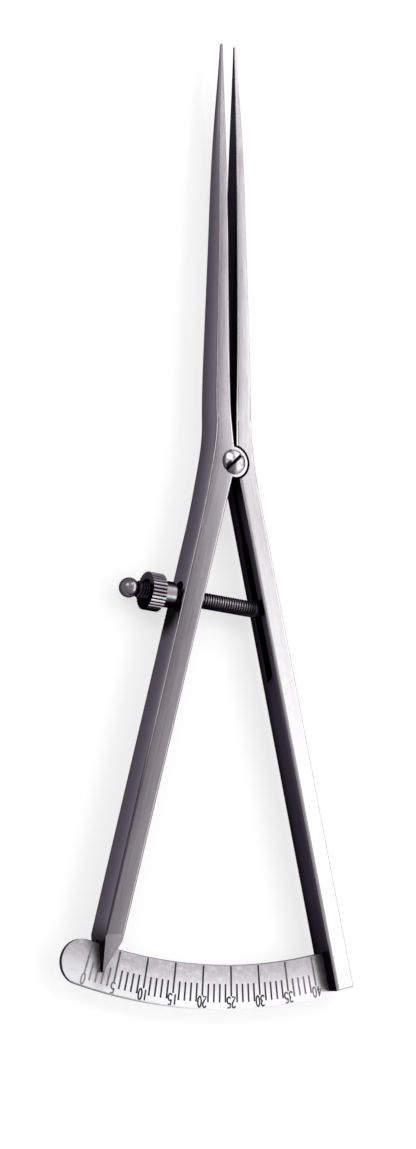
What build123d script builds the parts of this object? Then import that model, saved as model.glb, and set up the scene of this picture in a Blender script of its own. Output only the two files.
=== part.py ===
# Bone caliper: two pointed arms on a half-lapped screw hinge, read on a small curved scale.
# Frame, millimetres: the hinge axis runs along Z through X = Y = 0, the arms' back faces lie on Z = 0,
# the measuring tips point along +Y and the scale lies at the -Y end. +Z is the side that is read.
from build123d import *
import os
from math import asin, cos, degrees, pi, radians, sin

# Arms
tip_reach = 83.0  # hinge axis to the measuring tips
arm_t = 5.7  # thickness of both arms at the hinge and below it
root_w = 3.7  # closed line to the outer side of an upper arm, just above the hinge
relief = 0.48  # hollow of the upper arms' inner sides, behind their tips
edge_r = 0.45  # rounding of the arms' long edges on the front
back_r = 0.12  # rounding of the arms' long edges on the back
root_y = 8.0  # height above the hinge where the straight-sided blank becomes the tapered point
set_gap = 2.5  # distance between the tips at rest, and the reading there
full_gap = 40.0  # distance between the tips at full opening, the end of the scale

# Each row of the tapered point: reach, inner side, outer side, thickness and edge rounding
# as shares of tip_reach, relief, root_w, arm_t and the rounding at the hinge
point_shares = (
    (0.192, 0.98, 0.924, 0.956, 0.80),
    (0.313, 0.98, 0.816, 0.895, 0.65),
    (0.458, 0.73, 0.676, 0.807, 0.55),
    (0.602, 0.50, 0.562, 0.693, 0.50),
    (0.735, 0.32, 0.459, 0.518, 0.45),
    (0.843, 0.19, 0.330, 0.333, 0.35),
    (0.928, 0.09, 0.210, 0.184, 0.25),
    (1.000, 0.00, 0.115, 0.088, 0.15),
)

# Pointer arm, whose lower end reads the scale
pointer_bend = 14.66  # degrees between its point and its lower arm
pointer_inner = 0.60  # hinge axis to the lower arm's inner side, positive towards the scale arm
pointer_outer = 3.72  # hinge axis to the lower arm's outer side
pointer_end_out = 3.50  # hinge axis to the outer side at the lower end, which tapers a little
pointer_end_in = 0.05  # hinge axis to the inner side at the lower end
pointer_root_in = 0.22  # closed line to the inner side just above the hinge
pointer_waist = 0.20  # how far its outer side draws in just above the hinge
pointer_shoulder = 4.85  # hinge axis to the outer side beside the hinge
pointer_shoulder_y = 2.2  # how far below the hinge axis that shoulder lies
pointer_blend = 14.0  # distance below the hinge where the shoulder has run into the straight side
pointer_r = 94.6  # hinge axis to the pointer's apex
pointer_outer_v = 6.2  # along the arm from the outer corner of the pointer's V to its apex
pointer_inner_v = 5.8  # along the arm from the inner corner of the V to its apex
pointer_nose_h = 0.95  # height of the apex above the scale's face
slope_run = 6.34  # along Y from the start of the pointer's sloping front face to its apex
nose_cut = 0.65  # length of the small bevel under the apex
nose_lift = 0.35  # height of that bevel

# Scale arm
scale_bend = 13.44  # degrees between its point and its lower arm
scale_inner = 0.70  # hinge axis to the lower arm's inner side
scale_outer = 4.30  # hinge axis to the lower arm's outer side
scale_root_in = 0.44  # closed line to the inner side just above the hinge
scale_shoulder = 4.60  # hinge axis to the outer side beside the hinge
scale_shoulder_y = 0.0  # how far below the hinge axis that shoulder lies
scale_blend = 8.0  # distance below the hinge where the shoulder has run into the straight side
scale_end = 0.75  # from the lower arm's square end to the plate's outer edge

# Half-lapped hinge
lobe_r = 2.85  # round lobe of each arm
lobe_flat = 2.80  # below the hinge axis, where the pointer arm's lobe is cut flat
lobe_gap = 0.45  # running gap between a lobe and the recess of the other arm
lap_gap = 0.02  # running gap between the two lapped faces
shoulder_r = 1.2  # plain shoulder of the screw, which the pointer arm turns on
thread_r = 1.0  # threaded tail of the screw, in the scale arm's lobe
pivot_gap = 0.05  # radial running clearance of the screw in the pointer arm
head_r = 2.3  # raised countersunk head
head_rim = 0.18  # height of the head's straight rim above the arm
head_dome = 0.42  # height of the dome above that rim
driver_w = 0.65  # driver slot
driver_depth = 0.75  # from the top of the dome
driver_turn = 45.0  # degrees that the driver slot is turned from X

# Scale plate
plate_t = 1.0
plate_w = 7.65  # width of the plate
plate_past = 3.05  # from the pointer's apex to the plate's outer edge
zero_back = 28.99  # degrees from the scale arm back to the zero line
plate_margin = 0.9  # along the plate from the zero line to the centre of the rounded end
plate_tenon = 2.2  # depth of the plate in the scale arm's slot
plate_gap = 0.10  # running clearance of the pointer arm's fork over each face of the plate
fork_gap = 0.55  # clearance between the plate's inner edge and the fork's root

# Adjusting rod with its eye, pin, ball, collar and nut
rod_r = 1.5  # outside radius of the thread
rod_tilt = 3.45  # degrees that the rod leans from square to the tips' line at rest
rod_end = 26.7  # pin to the rod's end
rod_chamfer = 0.35
eye_t = 1.9  # thickness of the flat eye
eye_r = 1.15  # half width of the eye
eye_gap = 0.13  # clearance behind the eye, and between its shoulder and the arm
saw_w = 2.1  # width of the saw slot that takes the eye
saw_half = 13.0  # half length of the saw slot where it breaks the arm's inner side
pin_s = 27.75  # hinge axis to the pin, along the scale arm
pin_in = 1.70  # scale arm's inner side to the pin
pin_r = 0.6
pin_gap = 0.03  # radial running clearance of the eye on its pin
slot_length = 5.0  # cross slot in the pointer arm, along the arm
slot_s = 26.75  # hinge axis to the middle of the cross slot, along the arm
slot_gap = 0.15  # clearance above and below the rod in the cross slot
bore_gap = 0.05  # radial running clearance of the nut and collar on the thread
collar_r = 2.39
collar_len = 3.20
collar_bevel = 0.80  # bevel of the collar's end towards the arm
seat_gap = 0.07  # least gap at rest between the collar's edge and the pointer arm
face_gap = 0.03  # running gap between the collar and the nut
nut_r = 3.44  # over the knurled rim
nut_len = 2.75
knurl_teeth = 32
knurl_depth = 0.24
knurl_land = 0.20  # flat left between two grooves
well_r = 2.10  # well in the nut's outer face, which the ball's neck can enter
well_depth = 0.80
ball_r = 1.8
ball_stand = 1.38  # rod's end to the ball's centre
peg_r = 0.7  # peg that fixes the ball in the rod's end
peg_len = 1.6

overrun = 1.0  # how far cutters run past what they cut
on_base = (Align.CENTER, Align.CENTER, Align.MIN)

plate_out = pointer_r + plate_past
plate_in = plate_out - plate_w
scale_arm_s = plate_out - scale_end
pointer_outer_s = pointer_r - pointer_outer_v
pointer_inner_s = pointer_r - pointer_inner_v

half_open = degrees(asin(set_gap / 2 / tip_reach))
pointer_dir = half_open - pointer_bend
scale_dir = scale_bend - half_open
mid_z = arm_t / 2
lap_low = mid_z - lap_gap / 2
lap_high = mid_z + lap_gap / 2
recess_r = lobe_r + lobe_gap
plate_low = mid_z - plate_t
zero_dir = scale_dir - zero_back
pin_x = scale_inner + pin_in
slot_depth = pin_in + eye_r + eye_gap
saw_r = (saw_half**2 + slot_depth**2) / (2 * slot_depth)


def along(direction, s, offset):
    """Point at distance s from the hinge, direction degrees from -Y, offset to the +X side."""
    a = radians(direction)
    return Vector(s * sin(a) + offset * cos(a), -s * cos(a) + offset * sin(a))


def arm_frame(direction, s, offset, z):
    """Frame on a lower arm: X across it towards +X, Y back towards the hinge, Z to the front."""
    p = along(direction, s, offset)
    return Location((p.X, p.Y, z), (0, 0, direction))


pin_at = along(scale_dir, pin_s, pin_x)
rod_frame = Plane(
    origin=(pin_at.X, pin_at.Y, mid_z),
    x_dir=(-sin(radians(rod_tilt)), -cos(radians(rod_tilt)), 0),
    z_dir=(-cos(radians(rod_tilt)), sin(radians(rod_tilt)), 0),
)


def opening(gap):
    """Degrees between the arms when the tips are gap apart."""
    return degrees(2 * asin(gap / 2 / tip_reach))


def point_section(side, reach, inner, outer, thick, rounding):
    """Section of a point square to Y, with its front corners rounder than its back ones."""
    frame = Plane(origin=(side * (inner + outer) / 2, reach, mid_z), x_dir=(1, 0, 0), z_dir=(0, -1, 0))
    section = Rectangle(outer - inner, thick)
    section = fillet(section.vertices().group_by(Axis.Y)[-1], rounding * edge_r)
    section = fillet(section.vertices().group_by(Axis.Y)[0], rounding * back_r)
    return frame * section


def with_point(side, blank):
    """Grow the upper arm out of the blank's upper face: side is -1 for the pointer arm, else 1."""
    sections = [blank.faces().sort_by(Axis.Y)[-1]]
    for reach, inner, outer, thick, rounding in point_shares:
        sides = inner * relief, outer * root_w
        section = point_section(side, reach * tip_reach, *sides, thick * arm_t, rounding)
        sections.append(section.face())
    return blank + loft(sections)


def arm_blank(side, bend, outer, shoulder, shoulder_y, blend, roots, lower_points, long_s):
    """Full-thickness hinge block and lower arm, with its long edges rounded."""
    root_in = Vector(side * roots[0], root_y)
    root_out = Vector(side * roots[1], root_y)
    blend_at = along(bend, blend, outer)
    first = point_shares[0]
    slope = root_out - Vector(side * first[2] * root_w, first[0] * tip_reach)
    side_curve = Spline(
        [root_out, Vector(side * shoulder, -shoulder_y), blend_at],
        tangents=[slope, (lower_points[0] - blend_at).normalized()],
    )
    edges = Polyline(blend_at, *lower_points, root_in, root_out)
    blank = extrude(make_face(side_curve + edges), arm_t)
    low_y = -long_s * cos(radians(bend))
    for level, r in ((arm_t, edge_r), (0, back_r)):
        rims = blank.edges().filter_by_position(Axis.Z, level, level)
        rims = rims.filter_by(lambda e: low_y < e.center().Y < root_y - r)
        blank = fillet(rims, r)
    return with_point(side, blank)


def pointer_apex():
    """Apex of the pointer with the tips closed, on the line from the hinge to the zero line."""
    return along(scale_bend - zero_back, pointer_r, 0)


def slope_cutter():
    """Wedge that slopes the pointer's front face down to its apex."""
    apex = pointer_apex()
    start = apex.Y + slope_run
    far = slope_run + overrun
    drop = (arm_t - mid_z - pointer_nose_h) / slope_run * far
    corners = (start, arm_t), (start - far, arm_t), (start - far, arm_t - drop)
    profile = Plane.YZ * Polygon(*corners, align=None)
    return Pos(2 * apex.X, 0, 0) * extrude(profile, -2 * apex.X)


def nose_cutter():
    """Small bevel under the pointer's apex, in the closed frame."""
    apex = pointer_apex()
    low = mid_z + plate_gap
    start = apex.Y + nose_cut
    end = apex.Y - overrun
    rise = nose_lift / nose_cut * (start - end)
    profile = Plane.YZ * Polygon((start, low), (end, low), (end, low + rise), align=None)
    return Pos(2 * apex.X, 0, 0) * extrude(profile, -2 * apex.X)


def disc(r, low, high):
    """Cylinder about the hinge axis."""
    return Pos(0, 0, low) * Cylinder(r, high - low, align=on_base)


def head_seat():
    """Countersink and shoulder hole of the pointer arm."""
    cone = head_r - shoulder_r
    outline = Polyline(
        (0, lap_low - overrun),
        (shoulder_r + pivot_gap, lap_low - overrun),
        (shoulder_r + pivot_gap, arm_t - cone),
        (head_r + pivot_gap, arm_t),
        (head_r + pivot_gap, arm_t + overrun),
        (0, arm_t + overrun),
        close=True,
    )
    return revolve(Plane.XZ * make_face(outline), Axis.Z)


def make_pointer_arm():
    lower = (
        along(-pointer_bend, pointer_outer_s, -pointer_end_out),
        pointer_apex(),
        along(-pointer_bend, pointer_inner_s, pointer_end_in),
        along(-pointer_bend, 0, pointer_inner),
    )
    arm = arm_blank(
        -1,
        -pointer_bend,
        -pointer_outer,
        pointer_shoulder,
        pointer_shoulder_y,
        pointer_blend,
        (pointer_root_in, root_w - pointer_waist),
        lower,
        pointer_outer_s,
    )
    under = (Align.CENTER, Align.MAX, Align.CENTER)
    below = Pos(0, -lobe_flat) * Box(2 * lobe_r, 2 * lobe_r, 2 * arm_t, align=under)
    arm += disc(lobe_r, lap_high, arm_t) - below
    arm -= disc(recess_r, -overrun, lap_high)
    arm -= head_seat()
    arm -= slope_cutter()
    fork = disc(plate_out + overrun, plate_low - plate_gap, mid_z + plate_gap)
    fork -= disc(plate_in - fork_gap, -overrun, arm_t)
    arm -= fork
    arm -= nose_cutter()
    slot = Plane.YZ * SlotOverall(slot_length, 2 * (rod_r + slot_gap))
    across = extrude(slot, pointer_outer + pointer_inner, both=True)
    arm -= arm_frame(-pointer_bend, slot_s, (pointer_inner - pointer_outer) / 2, mid_z) * across
    return Rot(0, 0, half_open) * arm


def make_scale_plate():
    centre_r = (plate_in + plate_out) / 2
    end_dir = zero_dir - degrees(plate_margin / centre_r)
    far = 2 * plate_out
    reach = along(end_dir, far, 0), along(scale_dir, far, 0), along(scale_dir, 0, far)
    wedge = Polygon((0, 0), *reach, align=None)
    end = along(end_dir, centre_r, 0)
    plan = (Circle(plate_out) - Circle(plate_in)) & wedge
    plan += Pos(end.X, end.Y) * Circle((plate_out - plate_in) / 2)
    plate = Pos(0, 0, plate_low) * extrude(plan, plate_t)
    beyond = Box(far, 2 * far, far, align=(Align.MIN, Align.CENTER, Align.CENTER))
    plate -= arm_frame(scale_dir, plate_out, scale_inner + plate_tenon, mid_z) * beyond
    below = Box(scale_outer, scale_outer, arm_t, align=(Align.MIN, Align.MAX, Align.CENTER))
    plate -= arm_frame(scale_dir, scale_arm_s, scale_inner, mid_z) * below
    return plate


def make_scale_arm(plate):
    lower = (
        along(scale_bend, scale_arm_s, scale_outer),
        along(scale_bend, scale_arm_s, scale_inner),
        along(scale_bend, 0, scale_inner),
    )
    arm = arm_blank(
        1,
        scale_bend,
        scale_outer,
        scale_shoulder,
        scale_shoulder_y,
        scale_blend,
        (scale_root_in, root_w),
        lower,
        scale_arm_s - edge_r,
    )
    arm += disc(lobe_r, 0, lap_low)
    arm -= disc(recess_r, lap_low, arm_t + overrun)
    arm -= disc(thread_r, -overrun, arm_t)
    arm = Rot(0, 0, -half_open) * arm
    saw = Cylinder(saw_r, saw_w)
    arm -= arm_frame(scale_dir, pin_s, scale_inner + slot_depth - saw_r, mid_z) * saw
    arm -= arm_frame(scale_dir, pin_s, pin_x, mid_z) * Cylinder(pin_r, arm_t + overrun)
    return arm - plate


def make_pivot_screw():
    cone = head_r - shoulder_r
    top = arm_t + head_rim
    outline = Polyline(
        (0, 0),
        (thread_r, 0),
        (thread_r, lap_low),
        (shoulder_r, lap_low),
        (shoulder_r, arm_t - cone),
        (head_r, arm_t),
        (head_r, top),
    )
    dome_r = (head_r**2 + head_dome**2) / (2 * head_dome)
    centre = top + head_dome - dome_r
    half = asin(head_r / dome_r) / 2
    middle = dome_r * sin(half), centre + dome_r * cos(half)
    dome = ThreePointArc((head_r, top), middle, (0, top + head_dome))
    axis = Line((0, top + head_dome), (0, 0))
    screw = revolve(Plane.XZ * make_face(outline + dome + axis), Axis.Z)
    driver = Box(2 * head_r + overrun, driver_w, driver_depth + overrun, align=on_base)
    return screw - Pos(0, 0, top + head_dome - driver_depth) * Rot(0, 0, driver_turn) * driver


def make_rod_pin():
    return arm_frame(scale_dir, pin_s, pin_x, mid_z) * Cylinder(pin_r, arm_t)


def rod_shoulder():
    """Distance from the pin to the rod's full section, just clear of the scale arm's inner side."""
    lean = radians(rod_tilt + scale_dir)
    return (pin_in + eye_gap + rod_r * sin(lean)) / cos(lean)


def collar_start():
    """Distance from the pin to the collar, whose edge almost rests on the pointer arm."""
    lean = radians(-pointer_dir - rod_tilt)
    a = radians(pointer_dir)
    face = pin_at.X * cos(a) + pin_at.Y * sin(a) + pointer_outer
    return (face + seat_gap + (collar_r - collar_bevel) * sin(lean)) / cos(lean)


def on_rod(solid, distance):
    """Place a solid that was drawn along +Z on the rod, distance from the pin."""
    return rod_frame.location * Pos(0, 0, distance) * solid


def tube(r, bore, length):
    """Round blank along +Z with a bore right through."""
    blank = Cylinder(r, length, align=on_base)
    return blank - Cylinder(bore, 2 * length + overrun)


def make_adjusting_rod():
    start = rod_shoulder()
    shank = Pos(0, 0, start) * Cylinder(rod_r, rod_end - start, align=on_base)
    shank = chamfer(shank.edges().group_by(Axis.Z)[-1], rod_chamfer)
    tongue = Box(2 * eye_r, eye_t, start, align=on_base)
    eye = Rot(90, 0, 0) * Cylinder(eye_r, eye_t)
    rod = shank + tongue + eye
    rod -= Rot(90, 0, 0) * Cylinder(pin_r + pin_gap, eye_t + overrun)
    rod -= Pos(0, 0, rod_end - peg_len) * Cylinder(peg_r, rod_end, align=on_base)
    return on_rod(rod, 0)


def make_seat_collar():
    collar = tube(collar_r, rod_r + bore_gap, collar_len)
    rim = collar.edges().group_by(Axis.Z)[0].sort_by(lambda e: e.radius)[-1]
    return on_rod(chamfer(rim, collar_bevel), collar_start())


def make_thumb_nut():
    """Knurled wheel with straight vee grooves along its rim and a well in its outer face."""
    nut = tube(nut_r, rod_r + bore_gap, nut_len)
    nut -= Pos(0, 0, nut_len - well_depth) * Cylinder(well_r, well_depth + overrun, align=on_base)
    wide = 2 * pi * nut_r / knurl_teeth - knurl_land
    tip = nut_r - knurl_depth
    groove = Polygon((tip, 0), (nut_r + knurl_depth, -wide), (nut_r + knurl_depth, wide), align=None)
    cutter = Pos(0, 0, -overrun) * extrude(groove, nut_len + 2 * overrun)
    nut -= [Rot(0, 0, 360 * i / knurl_teeth) * cutter for i in range(knurl_teeth)]
    return on_rod(nut, collar_start() + collar_len + face_gap)


def make_stop_ball():
    ball = Pos(0, 0, rod_end + ball_stand) * Sphere(ball_r)
    ball &= Pos(0, 0, rod_end) * Cylinder(ball_r, 3 * ball_r, align=on_base)
    peg = Pos(0, 0, rod_end - peg_len) * Cylinder(peg_r, peg_len, align=on_base)
    return on_rod(ball + peg, 0)


plate = make_scale_plate()
pieces = {
    "scale_arm": make_scale_arm(plate),
    "pointer_arm": make_pointer_arm(),
    "scale_plate": plate,
    "pivot_screw": make_pivot_screw(),
    "adjusting_rod": make_adjusting_rod(),
    "rod_pin": make_rod_pin(),
    "thumb_nut": make_thumb_nut(),
    "seat_collar": make_seat_collar(),
    "stop_ball": make_stop_ball(),
}

os.makedirs("parts", exist_ok=True)
for name, piece in pieces.items():
    export_step(piece, f"parts/{name}.step")
    print(name, len(piece.solids()), "solid", round(piece.volume, 1), "mm3")

print("opening at rest", round(opening(set_gap), 3), "full", round(opening(full_gap), 3), "degrees")
print("arms_open range", round(opening(full_gap) - opening(set_gap), 3), "degrees")
print("pin at", round(pin_at.X, 4), round(pin_at.Y, 4), "rod axis", [round(v, 5) for v in rod_frame.z_dir])
nut_end = collar_start() + collar_len + face_gap + nut_len
print("collar from", round(collar_start(), 3), "nut to", round(nut_end, 3))
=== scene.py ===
from math import asin, cos, degrees, pi, radians, sin

import bpy
import numpy as np
from mathutils import Matrix, Vector


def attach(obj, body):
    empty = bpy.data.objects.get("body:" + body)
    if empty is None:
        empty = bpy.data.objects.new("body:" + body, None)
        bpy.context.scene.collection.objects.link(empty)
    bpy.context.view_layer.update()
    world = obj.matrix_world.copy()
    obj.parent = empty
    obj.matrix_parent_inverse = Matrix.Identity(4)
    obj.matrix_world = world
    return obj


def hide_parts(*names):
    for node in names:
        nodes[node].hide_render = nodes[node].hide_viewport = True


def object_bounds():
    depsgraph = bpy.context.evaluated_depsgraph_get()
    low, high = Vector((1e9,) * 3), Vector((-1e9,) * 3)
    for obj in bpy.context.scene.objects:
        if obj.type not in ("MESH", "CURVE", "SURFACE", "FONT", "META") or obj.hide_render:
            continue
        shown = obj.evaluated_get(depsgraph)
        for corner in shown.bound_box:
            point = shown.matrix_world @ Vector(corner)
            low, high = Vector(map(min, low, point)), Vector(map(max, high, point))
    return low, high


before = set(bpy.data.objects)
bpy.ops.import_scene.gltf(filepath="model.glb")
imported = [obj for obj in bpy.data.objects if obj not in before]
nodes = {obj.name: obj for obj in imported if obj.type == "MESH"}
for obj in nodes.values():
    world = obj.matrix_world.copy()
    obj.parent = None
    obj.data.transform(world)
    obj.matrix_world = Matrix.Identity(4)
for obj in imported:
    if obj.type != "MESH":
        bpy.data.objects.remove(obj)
cad_low, cad_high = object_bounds()

MM = 0.001  # every size below is in millimetres, every mesh in metres

# The arms and the scale, as in the part
MID_Z = 2.85  # the middle of the arms' thickness, where the scale plate's face lies
ARM_T = 5.7
ARM_LOW, ARM_HIGH = -96, 84  # reach of the arms along Y, for the tone tables
TIP_REACH = 83.0
TAPER_ROOT, TAPER_TIP, TAPER_LENGTH = 4.03, 0.95, 80.0  # width of a point at the hinge and 80 mm above it
TAPER_LEAST = 0.4
POINTER_DIR = -13.80  # degrees from -Y to the pointer arm's lower half
POINTER_SIDES = (-3.7, 0.4)  # its left and right edge from the line through the hinge
SCALE_DIR = 12.577  # degrees from -Y to the scale arm's lower half
SCALE_SIDES = (0.7, 4.3)
COLLAR_SEAT = (-10.70, -28.06, 1.2)  # middle of the shade beside the collar, on the pointer arm
NOSE = (-23.6, -91.6, MID_Z)  # the pointer's nose on the plate
PLATE_IN, PLATE_OUT = 90.0, 97.65  # radii of the plate's two arcs
ZERO_DIR = -16.413  # degrees from -Y to the zero line
LAST_READING = 40
MAJOR_IN, MAJOR_OUT = 90.22, 95.37  # radii of the ends of every fifth line
MINOR_IN, MINOR_OUT = 93.27, 96.43  # radii of the ends of the lines between
NUMBER_R = 96.42  # radius of the middle of the numbers
NUMBER_H = 1.80
DIGIT_BOX = 0.56  # width of the box that the digits are drawn in, which is 1 high
DIGIT_W = 0.43  # width of a digit as a share of its height
DIGIT_GAP = 0.11  # gap between two digits as a share of their height
LINE_W = 0.34
STROKE_W = 0.30
FILL_DEPTH = 0.02  # how far the black filling reaches into the plate
FILL_RISE = 0.012  # how far it stands above the plate

# The adjusting rod
PIN = (8.3851, -26.5615)
ROD_AXIS = (-0.998188, 0.060179)
ROD_START = 2.335
ROD_END = 26.7
ROD_R = 1.5
ROD_CHAMFER = 0.35
THREAD_PITCH = 0.5
THREAD_DEPTH = 0.28
THREAD_RUN = 0.5  # length over which the thread deepens at its start and fades at its end
PLAIN_BY_EYE = 0.2  # plain length before the thread
PLAIN_BY_BALL = 0.1  # plain length after it
VEE_SLOPE, VEE_FLAT = 1.25, 0.08  # they widen the crests and the roots
ROUND_STEPS = 40  # points round the rod
PITCH_STEPS = 10  # rings of points in one pitch
EYE_R = 1.15
EYE_T = 1.9
EYE_HOLE = 0.63
EYE_ROOT = 0.4  # how far the eye's tongue runs on into the rod


# ---------------------------------------------------------------- meshes

def mesh_piece(name, points, faces, body, slot, material, smooth=True):
    """One object at the origin from points in millimetres and faces, riding on a body."""
    mesh = bpy.data.meshes.new(name)
    mesh.from_pydata((np.asarray(points) * MM).tolist(), [], faces)
    mesh.validate()
    mesh.polygons.foreach_set("use_smooth", np.full(len(mesh.polygons), smooth))
    mesh.materials.append(material)
    piece = bpy.data.objects.new(name, mesh)
    bpy.context.scene.collection.objects.link(piece)
    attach(piece, body)
    return piece


def wrapped_faces(rows, columns):
    """Quads of a grid of rows by columns whose columns close into a ring."""
    r, c = np.meshgrid(np.arange(rows - 1), np.arange(columns), indexing="ij")
    a = r * columns + c
    b = r * columns + (c + 1) % columns
    return np.stack([a, b, b + columns, a + columns], -1).reshape(-1, 4).tolist()


def on_rod(across, up, along):
    """Points of the rod's own frame put in the part's frame. The three lengths are across the rod in the
    plane of the arms, up, and along it from the pin."""
    ux, uy = ROD_AXIS
    x = PIN[0] + along * ux + across * uy
    y = PIN[1] + along * uy - across * ux
    return np.stack([x, y, MID_Z + up + 0 * along], -1)


def threaded_shank():
    """Surface of the rod over turn t and length s: the radius is ROD_R less THREAD_DEPTH times a rounded
    vee of the phase s / THREAD_PITCH - t / (2 pi), and it runs out to a plain end at both ends."""
    steps = int((ROD_END - ROD_START) / THREAD_PITCH * PITCH_STEPS)
    s = np.linspace(ROD_START, ROD_END, steps)[:, None]
    t = np.linspace(0, 2 * pi, ROUND_STEPS, endpoint=False)[None, :]
    phase = (s / THREAD_PITCH - t / (2 * pi)) % 1.0
    vee = np.clip(VEE_SLOPE * (1 - np.abs(2 * phase - 1)) - VEE_FLAT, 0, 1)
    chamfer_start = ROD_END - ROD_CHAMFER
    run_in = np.clip((s - ROD_START - PLAIN_BY_EYE) / THREAD_RUN, 0, 1)
    run_out = np.clip((chamfer_start - PLAIN_BY_BALL - s) / THREAD_RUN, 0, 1)
    end = np.clip((s - chamfer_start) / ROD_CHAMFER, 0, 1)
    r = ROD_R - THREAD_DEPTH * vee * run_in * run_out - ROD_CHAMFER * end
    grid = on_rod(r * np.cos(t), r * np.sin(t), s + 0 * t).reshape(-1, 3)
    caps = on_rod(np.zeros(2), np.zeros(2), np.array([ROD_START, ROD_END]))
    faces = wrapped_faces(steps, ROUND_STEPS)
    n = steps * ROUND_STEPS
    ring = np.arange(ROUND_STEPS)
    following = (ring + 1) % ROUND_STEPS
    last = n - ROUND_STEPS
    faces += np.stack([following, ring, np.full(ROUND_STEPS, n)], -1).tolist()
    faces += np.stack([last + ring, last + following, np.full(ROUND_STEPS, n + 1)], -1).tolist()
    return np.concatenate([grid, caps]), faces


def flat_eye(first):
    """The rod's flat eye: a ring of four edges round the pin hole. Outside, the distance from the pin is
    EYE_R over the round end, and EYE_R / |sin t| or reach / cos t along the straight tongue."""
    reach = ROD_START + EYE_ROOT
    corner = np.arctan2(EYE_R, reach)
    t = np.concatenate([
        np.linspace(-corner, corner, 7),
        np.linspace(corner, pi / 2, 9)[1:],
        np.linspace(pi / 2, 3 * pi / 2, 33)[1:],
        np.linspace(-pi / 2, -corner, 9)[1:-1],
    ])
    n = len(t)
    outer = np.full(n, EYE_R)
    front = np.cos(t) > 1e-9
    sine = np.maximum(np.abs(np.sin(t[front])), 1e-9)
    outer[front] = np.minimum(reach / np.cos(t[front]), EYE_R / sine)
    half = EYE_T / 2
    rows = [
        on_rod(radius * np.sin(t), np.full(n, height), radius * np.cos(t))
        for radius, height in ((outer, -half), (outer, half), (EYE_HOLE, half), (EYE_HOLE, -half))
    ]
    faces = np.array(wrapped_faces(5, n))
    return np.concatenate(rows), (faces % (4 * n) + first).tolist()


def bow(cx, cy, rx, ry, start, end, steps):
    """Points of an elliptical arc, in degrees from +X."""
    a = np.radians(np.linspace(start, end, steps))
    return np.stack([cx + rx * np.cos(a), cy + ry * np.sin(a)], -1)


def digit_path(digit):
    """The middle line of one digit's stroke, a path of points in a box DIGIT_BOX wide and 1 high."""
    if digit == "0":
        return bow(0.28, 0.5, 0.24, 0.5, 0, 360, 29)[:-1]
    if digit == "1":
        return np.array([(0.28, 0.0), (0.28, 0.5), (0.28, 1.0)])
    if digit == "2":
        top = bow(0.28, 0.75, 0.24, 0.25, 165, -30, 14)
        return np.concatenate([top, [(0.30, 0.34), (0.04, 0.0), (0.54, 0.0)]])
    if digit == "3":
        upper = bow(0.26, 0.76, 0.23, 0.24, 150, -75, 13)
        lower = bow(0.26, 0.27, 0.26, 0.27, 75, -150, 15)
        return np.concatenate([upper, lower])
    if digit == "4":
        return np.array([(0.40, 0.0), (0.40, 0.5), (0.40, 1.0), (0.02, 0.30), (0.56, 0.30)])
    bowl = bow(0.27, 0.31, 0.26, 0.31, 118, -150, 16)
    return np.concatenate([[(0.50, 1.0), (0.12, 1.0), (0.08, 0.56)], bowl])


def inlay(path, width, closed=False):
    """A flat bar of filling carried along a plane path: at each point half the width to either side, square
    to the mean direction of the two runs that meet there."""
    if closed:
        ahead, back = np.roll(path, -1, 0), np.roll(path, 1, 0)
    else:
        ahead, back = np.concatenate([path[1:], path[-1:]]), np.concatenate([path[:1], path[:-1]])
    run = ahead - back
    run /= np.linalg.norm(run, axis=1)[:, None]
    side = np.stack([-run[:, 1], run[:, 0]], -1) * width / 2
    left, right = path + side, path - side
    low = np.full((len(path), 1), MID_Z - FILL_DEPTH)
    high = np.full((len(path), 1), MID_Z + FILL_RISE)
    ring = [np.hstack(pair) for pair in ((right, low), (right, high), (left, high), (left, low))]
    points = np.stack(ring, 1).reshape(-1, 3)
    n = len(points)
    if closed:
        return points, (np.array(wrapped_faces(len(path) + 1, 4)) % n).tolist()
    return points, wrapped_faces(len(path), 4) + [[3, 2, 1, 0], [n - 4, n - 3, n - 2, n - 1]]


def joined(inlays):
    """Several meshes of points and faces as one."""
    points, faces = [], []
    for more_points, more_faces in inlays:
        faces += (np.array(more_faces) + len(points)).tolist()
        points += more_points.tolist()
    return np.array(points), faces


def graduation_turn(reading):
    """Degrees from -Y to a reading's line: the tips lie reading apart on arms TIP_REACH long."""
    return ZERO_DIR + degrees(2 * asin(reading / 2 / TIP_REACH))


def at(turn, radius, sideways=0.0):
    """Plane points at a radius, turn degrees from -Y, moved sideways towards higher readings."""
    a = radians(turn)
    return np.stack([radius * sin(a) + sideways * cos(a), -radius * cos(a) + sideways * sin(a)], -1)


def line_filling():
    """The filled lines of the scale: a straight bar between two radii at each whole millimetre."""
    bars = []
    for reading in range(LAST_READING + 1):
        ends = (MAJOR_IN, MAJOR_OUT) if reading % 5 == 0 else (MINOR_IN, MINOR_OUT)
        bars.append(inlay(at(graduation_turn(reading), np.linspace(*ends, 3)), LINE_W))
    return joined(bars)


def number_filling():
    """The filled numbers at every fifth line. They read from the scale's other side, so their foot is
    towards the hinge and they run towards lower readings."""
    strokes = []
    advance = DIGIT_W + DIGIT_GAP
    for reading in range(0, LAST_READING + 1, 5):
        text = str(reading)
        width = advance * len(text) - DIGIT_GAP
        for i, digit in enumerate(text):
            path = digit_path(digit)
            x = (path[:, 0] * DIGIT_W / DIGIT_BOX + i * advance - width / 2) * NUMBER_H
            y = (path[:, 1] - 0.5) * NUMBER_H
            strokes.append(inlay(at(graduation_turn(reading), NUMBER_R + y, -x), STROKE_W, digit == "0"))
    return joined(strokes)


# ---------------------------------------------------------------- materials

def srgb(r, g, b):
    """Linear colour of a colour picked on a screen, 0 to 255."""
    c = np.array([r, g, b]) / 255
    linear = np.where(c <= 0.04045, c / 12.92, ((c + 0.055) / 1.055) ** 2.4)
    return (*linear.tolist(), 1.0)


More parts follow.
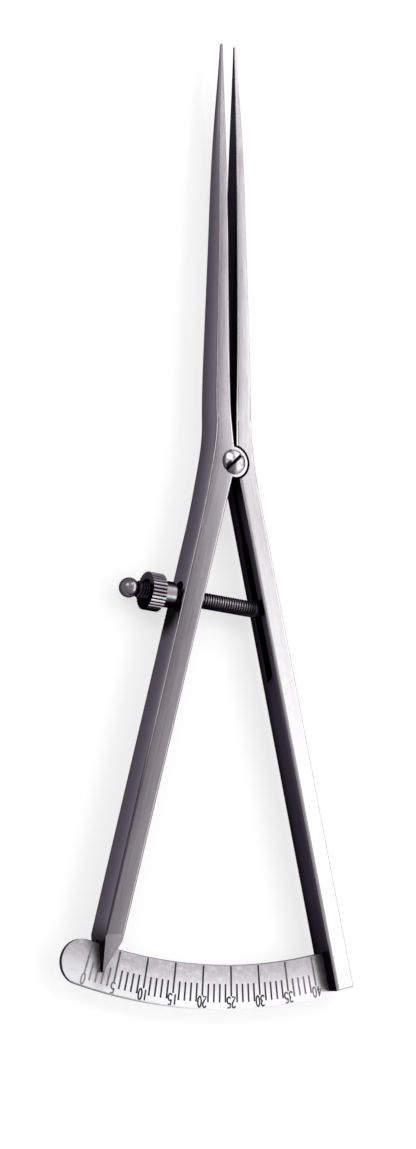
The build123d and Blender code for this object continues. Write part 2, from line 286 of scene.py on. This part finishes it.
def steel_grey(tone, tint=1.0):
    """A steel colour of a tone from 0 to 255: violet in the darks, a little rosy in the mids, neutral in
    the lights. The tint says how much of that colour it has."""
    places = (0, 50, 90, 150, 200, 240, 255)
    red = np.interp(tone, places, (0, -1, 1, 3, 3, 0, 0)) * tint
    green = np.interp(tone, places, (0, -5, -6, -6, -5, -1.5, 0)) * tint
    blue = np.interp(tone, places, (0, 6, 5, 3, 2, 1.5, 0)) * tint
    return srgb(*np.clip((tone + red, tone + green, tone + blue), 0, 255))


def tone_stops(table, low, high, tints=(1.0, 1.0)):
    """Places from 0 to 1 between low and high, each with its steel colour. The two tints hold below and
    above zero."""
    return [((place - low) / (high - low), steel_grey(tone, tints[place > 0])) for place, tone in table]


class Finish:
    """A material and the few nodes that its recipe needs. Lengths are given in millimetres."""

    def __init__(self, name):
        self.material = bpy.data.materials.new(name)
        self.material.use_nodes = True
        self.tree = self.material.node_tree
        self.shader = self.tree.nodes["Principled BSDF"]
        place = self.node("ShaderNodeTexCoord")
        self.here = place.outputs["Object"]
        self.normal = place.outputs["Normal"]

    def node(self, kind, **settings):
        made = self.tree.nodes.new(kind)
        for key, value in settings.items():
            setattr(made, key, value)
        return made

    def link(self, source, target):
        self.tree.links.new(source, target)

    def feed(self, socket, value):
        """Set a socket to a constant, or link another node's output to it."""
        if isinstance(value, (int, float, tuple)):
            socket.default_value = value
        else:
            self.link(value, socket)

    def maths(self, operation, *values):
        made = self.node("ShaderNodeMath", operation=operation)
        for socket, value in zip(made.inputs, values):
            self.feed(socket, value)
        return made.outputs[0]

    def product(self, value, *others):
        for other in others:
            value = self.maths("MULTIPLY", value, other)
        return value

    def remap(self, interpolation, value, *limits):
        made = self.node("ShaderNodeMapRange", interpolation_type=interpolation)
        self.link(value, made.inputs["Value"])
        for socket, limit in zip(("From Min", "From Max", "To Min", "To Max"), limits):
            made.inputs[socket].default_value = limit
        return made.outputs["Result"]

    def smooth(self, value, low, high, to_low=0.0, to_high=1.0):
        return self.remap("SMOOTHSTEP", value, low, high, to_low, to_high)

    def linear(self, value, low, high, to_low=0.0, to_high=1.0):
        return self.remap("LINEAR", value, low, high, to_low, to_high)

    def rise(self, length, low, high, most=1.0):
        """From 0 where a length is low to most where it is high."""
        return self.smooth(length, low * MM, high * MM, 0.0, most)

    def fall(self, length, low, high, most=1.0):
        """From most where a length is low to 0 where it is high."""
        return self.smooth(length, low * MM, high * MM, most, 0.0)

    def ramp(self, value, stops):
        made = self.node("ShaderNodeValToRGB")
        band = made.color_ramp
        while len(band.elements) < len(stops):
            band.elements.new(0.5)
        for element, (place, colour) in zip(band.elements, stops):
            element.position = place
            element.color = colour
        self.link(value, made.inputs[0])
        return made.outputs["Color"]

    def grey(self, value):
        made = self.node("ShaderNodeCombineXYZ")
        for socket in made.inputs:
            self.link(value, socket)
        return made.outputs[0]

    def blend(self, factor, a, b, mode="MIX"):
        made = self.node("ShaderNodeMix", data_type="RGBA", blend_type=mode)
        for slot, value in ((0, factor), (6, a), (7, b)):
            self.feed(made.inputs[slot], value)
        return made.outputs[2]

    def times(self, a, b):
        return self.blend(1.0, a, b, "MULTIPLY")

    def noise(self, place, scale, detail, roughness):
        made = self.node("ShaderNodeTexNoise")
        made.inputs["Scale"].default_value = scale
        made.inputs["Detail"].default_value = detail
        made.inputs["Roughness"].default_value = roughness
        self.link(place, made.inputs["Vector"])
        return made.outputs["Fac"]

    def stretched(self, place, scale, turn=0.0):
        made = self.node("ShaderNodeMapping")
        made.inputs["Rotation"].default_value = (0, 0, radians(turn))
        made.inputs["Scale"].default_value = scale
        self.link(place, made.inputs["Vector"])
        return made.outputs["Vector"]

    def split(self, vector):
        made = self.node("ShaderNodeSeparateXYZ")
        self.link(vector, made.inputs[0])
        return made.outputs

    def vector_maths(self, operation, vector, other=None):
        made = self.node("ShaderNodeVectorMath", operation=operation)
        self.link(vector, made.inputs[0])
        if other is not None:
            made.inputs[1].default_value = other
        return made.outputs

    def distance(self, point):
        """Distance from a point."""
        return self.vector_maths("DISTANCE", self.here, [v * MM for v in point])["Value"]

    def hinge_distance(self, xyz):
        """Distance from the hinge's axis."""
        x, y = xyz["X"], xyz["Y"]
        return self.maths("SQRT", self.maths("ADD", self.product(x, x), self.product(y, y)))

    def bump(self, height, distance, strength):
        made = self.node("ShaderNodeBump")
        made.inputs["Distance"].default_value = distance
        made.inputs["Strength"].default_value = strength
        self.link(height, made.inputs["Height"])
        self.link(made.outputs["Normal"], self.shader.inputs["Normal"])

    def coat(self, colour, metal, rough, edge=0.5):
        """Set the surface. edge is the brightness of a metal seen at a grazing angle."""
        self.shader.inputs["Metallic"].default_value = metal
        if metal:
            self.shader.inputs["Specular Tint"].default_value = (edge, edge, edge, 1.0)
        self.feed(self.shader.inputs["Roughness"], rough)
        self.feed(self.shader.inputs["Base Color"], colour)


class Arm(Finish):
    """Satin steel of an arm, brushed along its length, with light and shade painted into its colour. Its
    front is painted darker to the left, its long sides are painted darker than the front and darker towards
    the back, and a painted highlight line runs along the pointer's outer front edge. The tone tables run
    along the arm (Y) or through its thickness (Z)."""

    def __init__(self, name, pointer, lower_turn, edges, tones):
        super().__init__(name)
        self.pointer = pointer
        self.tones = tones
        self.xyz = self.split(self.here)
        self.y, self.z = self.xyz["Y"], self.xyz["Z"]
        facing = self.split(self.normal)
        self.upward = facing["Z"]
        self.level = self.maths("ABSOLUTE", facing["Z"])
        self.outward = self.maths("MULTIPLY", facing["X"], -1.0 if pointer else 1.0)
        self.lower = self.stretched(self.here, (1, 1, 1), -lower_turn)
        self.above = self.rise(self.y, -5, 6)
        self.across = self.arm_place(*edges)
        self.spread = self.hinge_distance(self.xyz)
        self.reach = self.linear(self.y, ARM_LOW * MM, ARM_HIGH * MM)
        self.depth = self.linear(self.z, 0.0, ARM_T * MM)
        self.from_middle = self.maths("ABSOLUTE", self.maths("SUBTRACT", self.z, MID_Z * MM))

    def arm_place(self, left, right):
        """How far across the arm a point lies, 0 at its left edge and 1 at its right. Below the hinge it is
        the offset from the line through the hinge, above it X over the width of the taper."""
        low = self.linear(self.split(self.lower)["X"], left * MM, right * MM)
        width = self.linear(self.y, 0.0, TAPER_LENGTH * MM, TAPER_ROOT * MM, TAPER_TIP * MM)
        width = self.maths("MAXIMUM", width, TAPER_LEAST * MM)
        high = self.maths("ADD", self.maths("DIVIDE", self.xyz["X"], width), 1.0 if self.pointer else 0.0)
        made = self.node("ShaderNodeMix", data_type="FLOAT", clamp_result=False)
        for slot, value in ((0, self.above), (2, low), (3, high)):
            self.link(value, made.inputs[slot])
        return made.outputs[0]

    def along(self, table, tints=(1.0, 1.0)):
        return self.ramp(self.reach, tone_stops(table, ARM_LOW, ARM_HIGH, tints))

    def through(self, table):
        return self.ramp(self.depth, tone_stops(table, 0, ARM_T))

    def front(self):
        """The front face, with painted light along and across it, painted highlights round the pointer's lobe
        and along the scale arm's inner edge, and painted black shade on the floor of the lap round the hinge.
        """
        tints = self.tones["tints"]
        # Painted light: the front's tones along the arm, from its left edge to its right.
        left, right = (self.along(self.tones[key], tints) for key in ("front_left", "front_right"))
        front = self.blend(self.across, left, right)
        if self.pointer:
            # Painted highlight: a bright ring round the pointer's lobe.
            lobe_rim_highlight = self.product(self.fall(self.spread, 2.9, 3.1), self.rise(self.xyz["X"], -1.2, 0.8))
            front = self.blend(lobe_rim_highlight, front, steel_grey(240))
        else:
            lower_arm = self.fall(self.y, -14, -6)
            # Painted highlight along the scale arm's inner front edge, with a strip of painted shade at the
            # very edge.
            edge_highlight = self.product(self.smooth(self.across, 0.02, 0.16, 1.0, 0.0), lower_arm)
            front = self.blend(edge_highlight, front, steel_grey(254))
            edge_shade = self.product(self.smooth(self.across, 0.0, 0.10, 0.8, 0.0), lower_arm)
            front = self.blend(edge_shade, front, steel_grey(130))
        # Painted shade: the floor of the lap round the hinge is painted near black.
        lap_floor_shade = self.product(self.fall(self.spread, 4.4, 5.0), self.fall(self.z, 4.2, 4.8))
        return self.blend(lap_floor_shade, front, steel_grey(4))

    def outer(self):
        """The long side that faces away from the other arm, with painted shade: darker towards the back,
        lighter towards the front, and painted near black beside the pointer's nose.
        """
        keys = ("outer_lower", "outer_upper", "outer_tip")
        lower, upper, tip = (self.through(self.tones[key]) for key in keys)
        outer = self.blend(self.rise(self.y, -18, 5), lower, upper)
        outer = self.blend(self.rise(self.y, 54, 82), outer, tip)
        if self.pointer:
            # Painted shade: the pointer's outer side is painted near black beside its nose.
            nose_side_shade = self.fall(self.y, -87, -82, 0.9)
            outer = self.blend(nose_side_shade, outer, steel_grey(10))
        return outer

    def inner(self):
        """The long side that faces the other arm, with painted light and shade through its thickness and
        along it, and painted black shade in the scale arm's rod slot.
        """
        inner = self.times(self.through(self.tones["inner"]), self.along(self.tones["inner_reach"]))
        if not self.pointer:
            # Painted shade: the scale arm's rod slot is painted black.
            below_hinge = self.product(self.fall(self.y, -4, 4), self.rise(self.y, -42, -34))
            rod_slot_shade = self.product(self.fall(self.from_middle, 0.45, 0.95), below_hinge)
            inner = self.blend(rod_slot_shade, inner, steel_grey(2))
        return inner

    def sides(self):
        """Both long sides, with the collar's painted shade and reflection, a painted highlight line along the
        pointer's outer front edge, and painted black shade on the round wall of the lap.
        """
        sides = self.blend(self.smooth(self.outward, -0.2, 0.2), self.inner(), self.outer())
        if self.pointer:
            # Painted shade and reflection of the collar and nut, near black on the pointer's outer side.
            collar_shade = self.fall(self.distance(COLLAR_SEAT), 2.2, 6.2, 0.98)
            sides = self.blend(collar_shade, sides, steel_grey(3))
            # Painted highlight line along the pointer's outer front edge, brighter above the hinge and
            # painted dark towards the nose.
            outer_half = self.smooth(self.outward, -0.2, 0.2, 0.0, 0.8)
            line = self.product(self.smooth(self.level, 0.05, 0.20), outer_half)
            ridge_light_and_shade = self.blend(self.above, steel_grey(118), steel_grey(82))
            ridge_light_and_shade = self.blend(self.rise(self.y, -60, -42), steel_grey(62), ridge_light_and_shade)
            sides = self.blend(line, sides, ridge_light_and_shade)
        # Painted shade: the round wall of the lap round the hinge is painted black.
        return self.blend(self.fall(self.spread, 3.2, 3.5), sides, steel_grey(4))

    def flats(self):
        """Front and back, with painted light and shade on the pointer arm's rounded edges and painted black
        shade inside each slot.
        """
        flats = self.blend(self.smooth(self.upward, -0.2, 0.2), steel_grey(186), self.front())
        if self.pointer:
            rounded = self.smooth(self.level, 0.88, 0.96, 1.0, 0.0)
            # Painted shade on the pointer's outer rounded edge, in the lower part of its lower arm.
            outer_edge_shade = self.product(rounded, self.smooth(self.outward, 0.1, 0.4))
            outer_edge_shade = self.product(outer_edge_shade, self.fall(self.y, -62, -44))
            flats = self.blend(outer_edge_shade, flats, steel_grey(66))
            # Painted highlight on the pointer's inner rounded edge, turning to painted shade lower down.
            painted_inner_edge = self.product(rounded, self.smooth(self.outward, -0.4, -0.1, 1.0, 0.0))
            inner_edge_highlight_and_shade = self.blend(self.rise(self.y, -46, -34), steel_grey(50), steel_grey(252))
            flats = self.blend(painted_inner_edge, flats, inner_edge_highlight_and_shade)
        # Painted shade: inside each slot of the lower arm is painted black.
        lower_arm = self.product(self.rise(self.y, -80, -76), self.fall(self.y, 2, 6))
        slot_shade = self.product(lower_arm, self.fall(self.from_middle, 1.3, 1.7))
        return self.blend(slot_shade, flats, steel_grey(2))

    def finish(self):
        """Sides and flats meet over the rounding of the edges, and brushing covers both."""
        sides, flats = self.sides(), self.flats()
        level = self.level
        if not self.pointer:
            level = self.maths("SUBTRACT", level, self.maths("MULTIPLY", self.above, 0.28))
        colour = self.blend(self.smooth(level, *self.tones["rounding"]), sides, flats)
        grain = self.node("ShaderNodeMix", data_type="VECTOR")
        for slot, value in ((0, self.above), (4, self.lower), (5, self.here)):
            self.link(value, grain.inputs[slot])
        streaks = self.noise(self.stretched(grain.outputs[1], (3600, 90, 3600)), 1.0, 3.0, 0.6)
        mottle = self.noise(self.here, 900.0, 3.0, 0.6)
        wear = self.product(
            self.smooth(streaks, 0.25, 0.75, 0.965, 1.03), self.smooth(mottle, 0.3, 0.7, 0.975, 1.02))
        self.coat(self.times(colour, self.grey(wear)), 1.0, self.smooth(streaks, 0.2, 0.8, 0.20, 0.27))
        self.bump(streaks, 0.000003, 0.5)
        return self.material


def plate_satin(name):
    """Satin plate: fine scratches along the arc and bright flecks, with painted light and shade: lighter
    towards its outer arc and its left end, painted shade lines along its two arcs, painted shade round the
    pointer's nose and painted dark edge faces."""
    f = Finish(name)
    xyz = f.split(f.here)
    scratches = f.noise(f.stretched(f.here, (500, 2400, 900)), 1.0, 3.0, 0.6)
    cloud = f.noise(f.here, 1000.0, 6.0, 0.75)
    radius = f.hinge_distance(xyz)
    # Painted light: the plate is painted lighter towards its outer arc and its left end.
    outward = f.rise(radius, PLATE_IN + 0.4, PLATE_OUT - 1.05)
    rightward = f.rise(xyz["X"], -10, 16)
    left = f.blend(outward, steel_grey(184, 0.6), steel_grey(248))
    right = f.blend(outward, steel_grey(162, 0.6), steel_grey(222, 0.6))
    base = f.blend(rightward, left, right)
    fleck_share = f.maths("SUBTRACT", 0.65, f.maths("MULTIPLY", rightward, 0.45))
    base = f.blend(f.product(f.smooth(cloud, 0.42, 0.74), fleck_share), base, steel_grey(238))
    # Painted shade: thin dark lines along the plate's two arcs, where its edges turn away.
    inner_arc_shade = f.fall(radius, PLATE_IN + 0.02, PLATE_IN + 0.20, 0.75)
    outer_arc_shade = f.product(
        f.rise(radius, PLATE_OUT - 0.23, PLATE_OUT - 0.15), f.smooth(xyz["X"], -26 * MM, 2 * MM, 0.6, 0.08))
    base = f.blend(f.maths("MAXIMUM", inner_arc_shade, outer_arc_shade), base, steel_grey(70))
    # Painted shade of the pointer round its nose on the plate.
    base = f.blend(f.fall(f.distance(NOSE), 0.4, 3.4, 0.5), base, steel_grey(120))
    # Painted shade: the plate's edge faces are painted dark.
    level = f.maths("ABSOLUTE", f.split(f.normal)["Z"])
    colour = f.blend(f.smooth(level, 0.35, 0.8), steel_grey(50), base)
    f.coat(colour, 1.0, f.smooth(scratches, 0.2, 0.8, 0.30, 0.42))
    f.bump(scratches, 0.000005, 0.5)
    return f.material


# Directions in the part's frame that the turned pieces are shaded by
SKYWARD = (-0.200, -0.100, 0.975)  # off the table, leaning a little to the lower left
TIPWARD = (-0.103, 0.980, 0.171)  # up in the picture
ACROSS_ROD = (0.058, 0.964, 0.258)  # square to the rod, towards the tips


class Turned(Finish):
    """Lathe-turned steel with fine rings about an axis. It knows the distance from the axis, the length
    along it and how far the surface faces along a given direction."""

    def __init__(self, name, point, axis, fine_lines):
        super().__init__(name)
        shift = self.vector_maths("SUBTRACT", self.here, [v * MM for v in point])[0]
        self.along = self.dot(shift, axis)
        length = self.vector_maths("LENGTH", shift)["Value"]
        square = self.maths("SUBTRACT", self.product(length, length), self.product(self.along, self.along))
        self.radius = self.maths("SQRT", self.maths("MAXIMUM", square, 0.0))
        off_axis = self.maths("MAXIMUM", self.radius, 1e-6)
        self.side = self.maths("DIVIDE", self.dot(shift, ACROSS_ROD), off_axis)
        ring_place = self.node("ShaderNodeCombineXYZ")
        self.link(self.maths("MULTIPLY", self.radius, fine_lines), ring_place.inputs[0])
        self.link(self.maths("MULTIPLY", self.along, fine_lines), ring_place.inputs[1])
        self.rings = self.noise(ring_place.outputs[0], 1.0, 2.0, 0.5)
        self.cloud = self.noise(self.here, 900.0, 3.0, 0.6)

    def dot(self, vector, axis):
        return self.vector_maths("DOT_PRODUCT", vector, axis)["Value"]

    def lean(self, direction):
        """From -1 to 1, how far the surface faces along a direction of the part's frame."""
        return self.dot(self.normal, direction)

    def graded(self, value, table):
        """Steel tones by a value from -1 to 1."""
        stops = [((place + 1) / 2, steel_grey(tone)) for place, tone in table]
        return self.ramp(self.linear(value, -1.0, 1.0), stops)

    def by_turn(self, table):
        """Tones by where round the axis a point lies, from -1 away from the tips to 1 towards them."""
        return self.graded(self.side, table)

    def by_lean(self, direction, table):
        """Tones by how far the surface faces along a direction."""
        return self.graded(self.lean(direction), table)

    def finish(self, colour, rough, edge=0.08):
        wear = self.product(
            self.smooth(self.rings, 0.25, 0.75, 0.86, 1.10), self.smooth(self.cloud, 0.3, 0.7, 0.92, 1.06))
        self.coat(self.times(colour, self.grey(wear)), 1.0, rough, edge)
        self.bump(self.rings, 0.000004, 0.5)
        return self.material


def screw_finish(name):
    """Polished head with a saw slot at 45 degrees and painted light and shade. The half above the slot has a
    painted highlight with a painted dark spot at its left, the half below it is painted grey as shade and
    mottled, the rim is painted darker and the slot painted black."""
    f = Turned(name, (0, 0, 0), (0, 0, 1), 900.0)
    xyz = f.split(f.here)
    x, y = xyz["X"], xyz["Y"]
    lengthwise = f.product(f.maths("ADD", x, y), 0.5 ** 0.5)
    upper = f.product(f.maths("SUBTRACT", y, x), 0.5 ** 0.5)
    # Painted highlight on the half above the slot, with a spot of painted shade at its left.
    highlight_half = f.blend(f.rise(lengthwise, -0.9, 0.5), steel_grey(244), steel_grey(166, 0.3))
    shade_spot = f.product(f.fall(upper, 0.65, 1.0), f.fall(lengthwise, -0.8, -0.4))
    highlight_half = f.blend(shade_spot, highlight_half, steel_grey(62))
    # The half below the slot: painted shade with random mottling, darker towards its lower left end.
    patches = f.smooth(f.noise(f.here, 1300.0, 2.0, 0.5), 0.42, 0.58)
    mottled_shade_half = f.blend(patches, steel_grey(146, 0.3), steel_grey(178, 0.3))
    mottled_shade_half = f.blend(f.rise(lengthwise, -1.1, -0.3), steel_grey(135, 0.3), mottled_shade_half)
    colour = f.blend(f.rise(upper, -0.1, 0.1), mottled_shade_half, highlight_half)
    # Painted shade round the rim.
    colour = f.blend(f.rise(f.radius, 1.90, 1.98), colour, steel_grey(112, 0.4))
    # Painted shade: the saw slot is painted black.
    saw_slot_shade = f.fall(f.maths("ABSOLUTE", upper), 0.26, 0.36)
    return f.finish(f.blend(saw_slot_shade, colour, steel_grey(4)), 0.2, 0.6)


def nut_finish(name, point, axis):
    """Knurled nut with painted light and shade: lands painted bright or dark by where they lie round the
    axis, black-shaded grooves, an outer face painted darker towards the bottom and a well painted black.
    """
    f = Turned(name, point, axis, 500.0)
    # Painted light on the lands, by where they lie round the axis.
    lit_land = f.by_turn((
        (-0.92, 14), (-0.8, 60), (-0.7, 225), (-0.5, 255), (-0.25, 238),
        (0.0, 205), (0.4, 170), (0.7, 150), (1.0, 128),
    ))
    # Painted shade in the grooves, black on the side away from the tips.
    shaded_groove = f.by_turn(((-1.0, 3), (-0.35, 5), (-0.1, 62), (0.3, 84), (0.7, 76), (1.0, 56)))
    colour = f.blend(f.rise(f.radius, 3.28, 3.42), shaded_groove, lit_land)
    y = f.split(f.here)["Y"]
    # Painted shade: the outer face is painted darker towards the bottom.
    face = f.blend(f.rise(y, -28.5, -22.5), steel_grey(16, 0.7), steel_grey(78, 0.7))
    colour = f.blend(f.smooth(f.lean(axis), 0.35, 0.8), colour, face)
    # Painted shade: the well round the rod is painted black.
    colour = f.blend(f.fall(f.radius, 2.08, 2.2), colour, steel_grey(4))
    return f.finish(colour, 0.28, 0.25)


def collar_finish(name, point, axis):
    """Turned collar with painted light and shade: one painted highlight band, painted black below it, painted
    dark above it and painted black where it meets the nut.
    """
    f = Turned(name, point, axis, 1200.0)
    # Painted highlight band with painted shade below and above it, by how far the surface faces up the
    # picture.
    band = f.by_lean(TIPWARD, (
        (-1.0, 8), (-0.62, 50), (-0.34, 130), (-0.16, 250), (-0.02, 180), (0.3, 165), (0.65, 95), (1.0, 40),
    ))
    # Painted shade where the collar meets the nut.
    nut_joint_shade = f.rise(f.along, 21.65, 21.85)
    return f.finish(f.blend(nut_joint_shade, band, steel_grey(6)), 0.25)


def ball_finish(name, point, axis):
    """Polished ball with painted light: painted brighter on top and painted darker round the rim."""
    f = Turned(name, point, axis, 700.0)
    # Painted light: brighter where the surface faces up off the table, darker round the rim.
    table = ((-1.0, 38), (-0.3, 46), (0.0, 56), (0.35, 74), (0.65, 102), (0.88, 150), (1.0, 172))
    return f.finish(f.by_lean(SKYWARD, table), 0.26, 0.35)


def rod_finish(name, point, axis):
    """Screw thread with painted light and shade: crests painted bright and dark round the axis between the
    arms and painted dark beyond them, and roots painted black.
    """
    f = Turned(name, point, axis, 300.0)
    between_arms = f.product(f.rise(f.along, 2.5, 7.0), f.fall(f.along, 12.5, 15.0))
    # Painted light on the thread by where it lies round the axis between the arms, and painted shade beyond
    # them.
    lit = f.by_turn(((-1.0, 10), (-0.6, 56), (-0.2, 140), (0.3, 210), (0.7, 160), (1.0, 36)))
    painted_crest = f.blend(between_arms, steel_grey(56), lit)
    # Painted black shade in the thread's roots.
    colour = f.blend(f.rise(f.radius, 1.26, 1.46), steel_grey(14), painted_crest)
    return f.finish(colour, 0.3)


def black_filling(name):
    """Black filling of the scale's lines, worn to grey towards both ends of the scale."""
    f = Finish(name)
    x = f.split(f.here)["X"]
    worn = f.maths("MAXIMUM", f.fall(x, -27, -17), f.rise(x, 9, 19, 0.8))
    patchy = f.smooth(f.noise(f.here, 1500.0, 3.0, 0.6), 0.35, 0.65, 0.6, 1.0)
    f.coat(f.blend(f.product(worn, patchy), srgb(26, 24, 30), srgb(168, 164, 169)), 0.0, 0.6)
    return f.material


# Painted light and shade of the arms: tones from 0 to 255 along the arm (by Y) or through its thickness (by
# Z), in millimetres. The inner side multiplies both. rounding is how level the surface is where the sides'
# tones give way to the front's.
outer_painted_tones = {
    "outer_lower": ((0.0, 78), (0.8, 87), (2.85, 93), (4.4, 105), (5.3, 118)),
    "outer_upper": ((0.0, 72), (0.9, 84), (1.9, 91), (2.85, 101), (3.8, 111), (4.7, 120), (5.3, 128)),
    "outer_tip": ((0.0, 50), (2.0, 54), (2.5, 72), (2.85, 104), (3.2, 152), (3.6, 185), (5.3, 185)),
}
pointer_painted_tones = dict(
    outer_painted_tones,
    front_left=(
        (-94, 112), (-84, 142), (-67, 133), (-30, 122), (8, 148), (30, 134), (50, 150), (70, 168), (82, 156)),
    front_right=((-94, 134), (-84, 178), (-30, 165), (-10, 184), (8, 218), (32, 227), (60, 192), (82, 212)),
    inner=((0.0, 60), (4.0, 80), (4.4, 252), (5.3, 254)),
    inner_reach=((-92, 140), (-44, 140), (-30, 255), (84, 255)),
    rounding=(0.40, 0.72),
    tints=(0.75, 0.75),
)
scale_painted_tones = dict(
    outer_painted_tones,
    front_left=((-96, 214), (-30, 221), (4, 207), (14, 146), (35, 114), (60, 140), (76, 104), (82, 128)),
    front_right=((-96, 214), (-30, 206), (-10, 196), (10, 229), (35, 203), (60, 172), (82, 203)),
    inner=((0.0, 22), (0.8, 31), (1.6, 43), (2.85, 52), (4.0, 53), (5.2, 76)),
    inner_reach=(
        (-95, 100), (-78, 232), (-46, 255), (-30, 196), (-12, 185),
        (-4, 120), (44, 150), (60, 205), (68, 248), (82, 150)),
    rounding=(0.12, 0.42),
    tints=(0.25, 0.5),
)


def dress(node, material):
    """Give a node of the part its finish."""
    nodes[node].data.materials.clear()
    nodes[node].data.materials.append(material)


rod_axis = (*ROD_AXIS, 0.0)
pin_point = (*PIN, MID_Z)
scale_arm_look = Arm("brushed_scale_arm_painted_light", False, SCALE_DIR, SCALE_SIDES, scale_painted_tones).finish()
dress("scale_arm", scale_arm_look)
dress("rod_pin", scale_arm_look)
dress("pointer_arm", Arm("brushed_pointer_arm_painted_light", True, POINTER_DIR, POINTER_SIDES, pointer_painted_tones).finish())
dress("scale_plate", plate_satin("satin_plate_painted_light"))
dress("pivot_screw", screw_finish("polished_screw_painted_light"))
dress("thumb_nut", nut_finish("knurled_nut_painted_light", pin_point, rod_axis))
dress("seat_collar", collar_finish("turned_collar_painted_light", pin_point, rod_axis))
dress("stop_ball", ball_finish("polished_ball_painted_light", pin_point, rod_axis))
rod_look = rod_finish("threaded_rod_painted_light", pin_point, rod_axis)
dress("adjusting_rod", rod_look)

# ---------------------------------------------------------------- pieces

shank_points, shank_faces = threaded_shank()
eye_points, eye_faces = flat_eye(len(shank_points))
rod_points, rod_faces = np.concatenate([shank_points, eye_points]), shank_faces + eye_faces
rod = mesh_piece("threaded_adjusting_rod", rod_points, rod_faces, "rod_side", "rod_steel", rod_look)
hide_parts("adjusting_rod")

filling = black_filling("black_line_filling")
mesh_piece("scale_lines", *line_filling(), "scale_side", "plate_steel", filling, False)
mesh_piece("scale_numbers", *number_filling(), "scale_side", "plate_steel", filling, False)

# ---------------------------------------------------------------- camera, light and floor

LENS = 62.794
SENSOR = 36.0
CAMERA_RIGHT = (0.87180, 0.00628, 0.48982)
CAMERA_UP = (-0.10321, 0.97983, 0.17114)
CAMERA_BACK = (-0.47886, -0.19975, 0.85486)
CAMERA_PLACE = (-176.940, -93.127, 312.161)

camera_data = bpy.data.cameras.new("camera")
camera_data.sensor_fit = "VERTICAL"
camera_data.sensor_height = SENSOR
camera_data.lens = LENS
camera_data.clip_start = 0.01
camera_data.clip_end = 20.0
camera = bpy.data.objects.new("camera", camera_data)
attitude = Matrix((CAMERA_RIGHT, CAMERA_UP, CAMERA_BACK)).transposed().to_4x4()
camera.matrix_world = Matrix.Translation(Vector(CAMERA_PLACE) * MM) @ attitude
bpy.context.scene.collection.objects.link(camera)
bpy.context.scene.camera = camera


def soft_box(name, place, target, width, height, watts):
    """A rectangular soft light at a place, facing a target, both in millimetres."""
    data = bpy.data.lights.new(name, "AREA")
    data.shape = "RECTANGLE"
    data.size = width * MM
    data.size_y = height * MM
    data.energy = watts
    lamp = bpy.data.objects.new(name, data)
    aim = (Vector(target) - Vector(place)).to_track_quat("-Z", "Y")
    lamp.matrix_world = Matrix.Translation(Vector(place) * MM) @ aim.to_matrix().to_4x4()
    bpy.context.scene.collection.objects.link(lamp)


soft_box("key_softbox", (635.0, 150.0, 500.0), (635.0, 150.0, 0.0), 630.0, 1400.0, 5.7)
soft_box("side_softbox", (-330.0, 190.0, 330.0), (-20.0, -25.0, 0.0), 220.0, 220.0, 0.38)
soft_box("top_softbox", (90.0, 250.0, 425.0), (0.0, 0.0, 5.0), 150.0, 150.0, 0.18)

world = bpy.data.worlds.new("studio")
world.use_nodes = True
studio = world.node_tree.nodes["Background"]
studio.inputs["Color"].default_value = (1.0, 0.995, 1.0, 1.0)
studio.inputs["Strength"].default_value = 0.45
bpy.context.scene.world = world

FLOOR_SIZE = 4000.0  # half the floor's width
FLOOR_GAP = 0.05  # between the floor and the nut's rim
FLOOR_LIFT = 0.64  # what brings the lit floor up to white


def pale_floor():
    """White floor just under the nut. What the camera and the steel see of it is lifted to white."""
    f = Finish("white_floor")
    f.coat((0.5, 0.5, 0.5, 1.0), 0.0, 0.9)
    f.bump(f.noise(f.here, 30.0, 2.0, 0.5), 0.0001, 0.1)
    rays = f.node("ShaderNodeLightPath").outputs
    seen = f.maths("MAXIMUM", rays["Is Camera Ray"], rays["Is Glossy Ray"])
    seen = f.maths("MAXIMUM", seen, rays["Is Transmission Ray"])
    f.shader.inputs["Emission Color"].default_value = (1.0, 1.0, 1.0, 1.0)
    f.link(f.maths("MULTIPLY", seen, FLOOR_LIFT), f.shader.inputs["Emission Strength"])
    level = cad_low.z / MM - FLOOR_GAP
    corners = np.array([(-1, -1, 0), (1, -1, 0), (1, 1, 0), (-1, 1, 0)]) * FLOOR_SIZE + (0, 0, level)
    mesh = bpy.data.meshes.new("floor")
    mesh.from_pydata((corners * MM).tolist(), [], [(0, 1, 2, 3)])
    mesh.materials.append(f.material)
    floor = bpy.data.objects.new("floor", mesh)
    bpy.context.scene.collection.objects.link(floor)


pale_floor()
bpy.context.scene.view_settings.view_transform = "Standard"
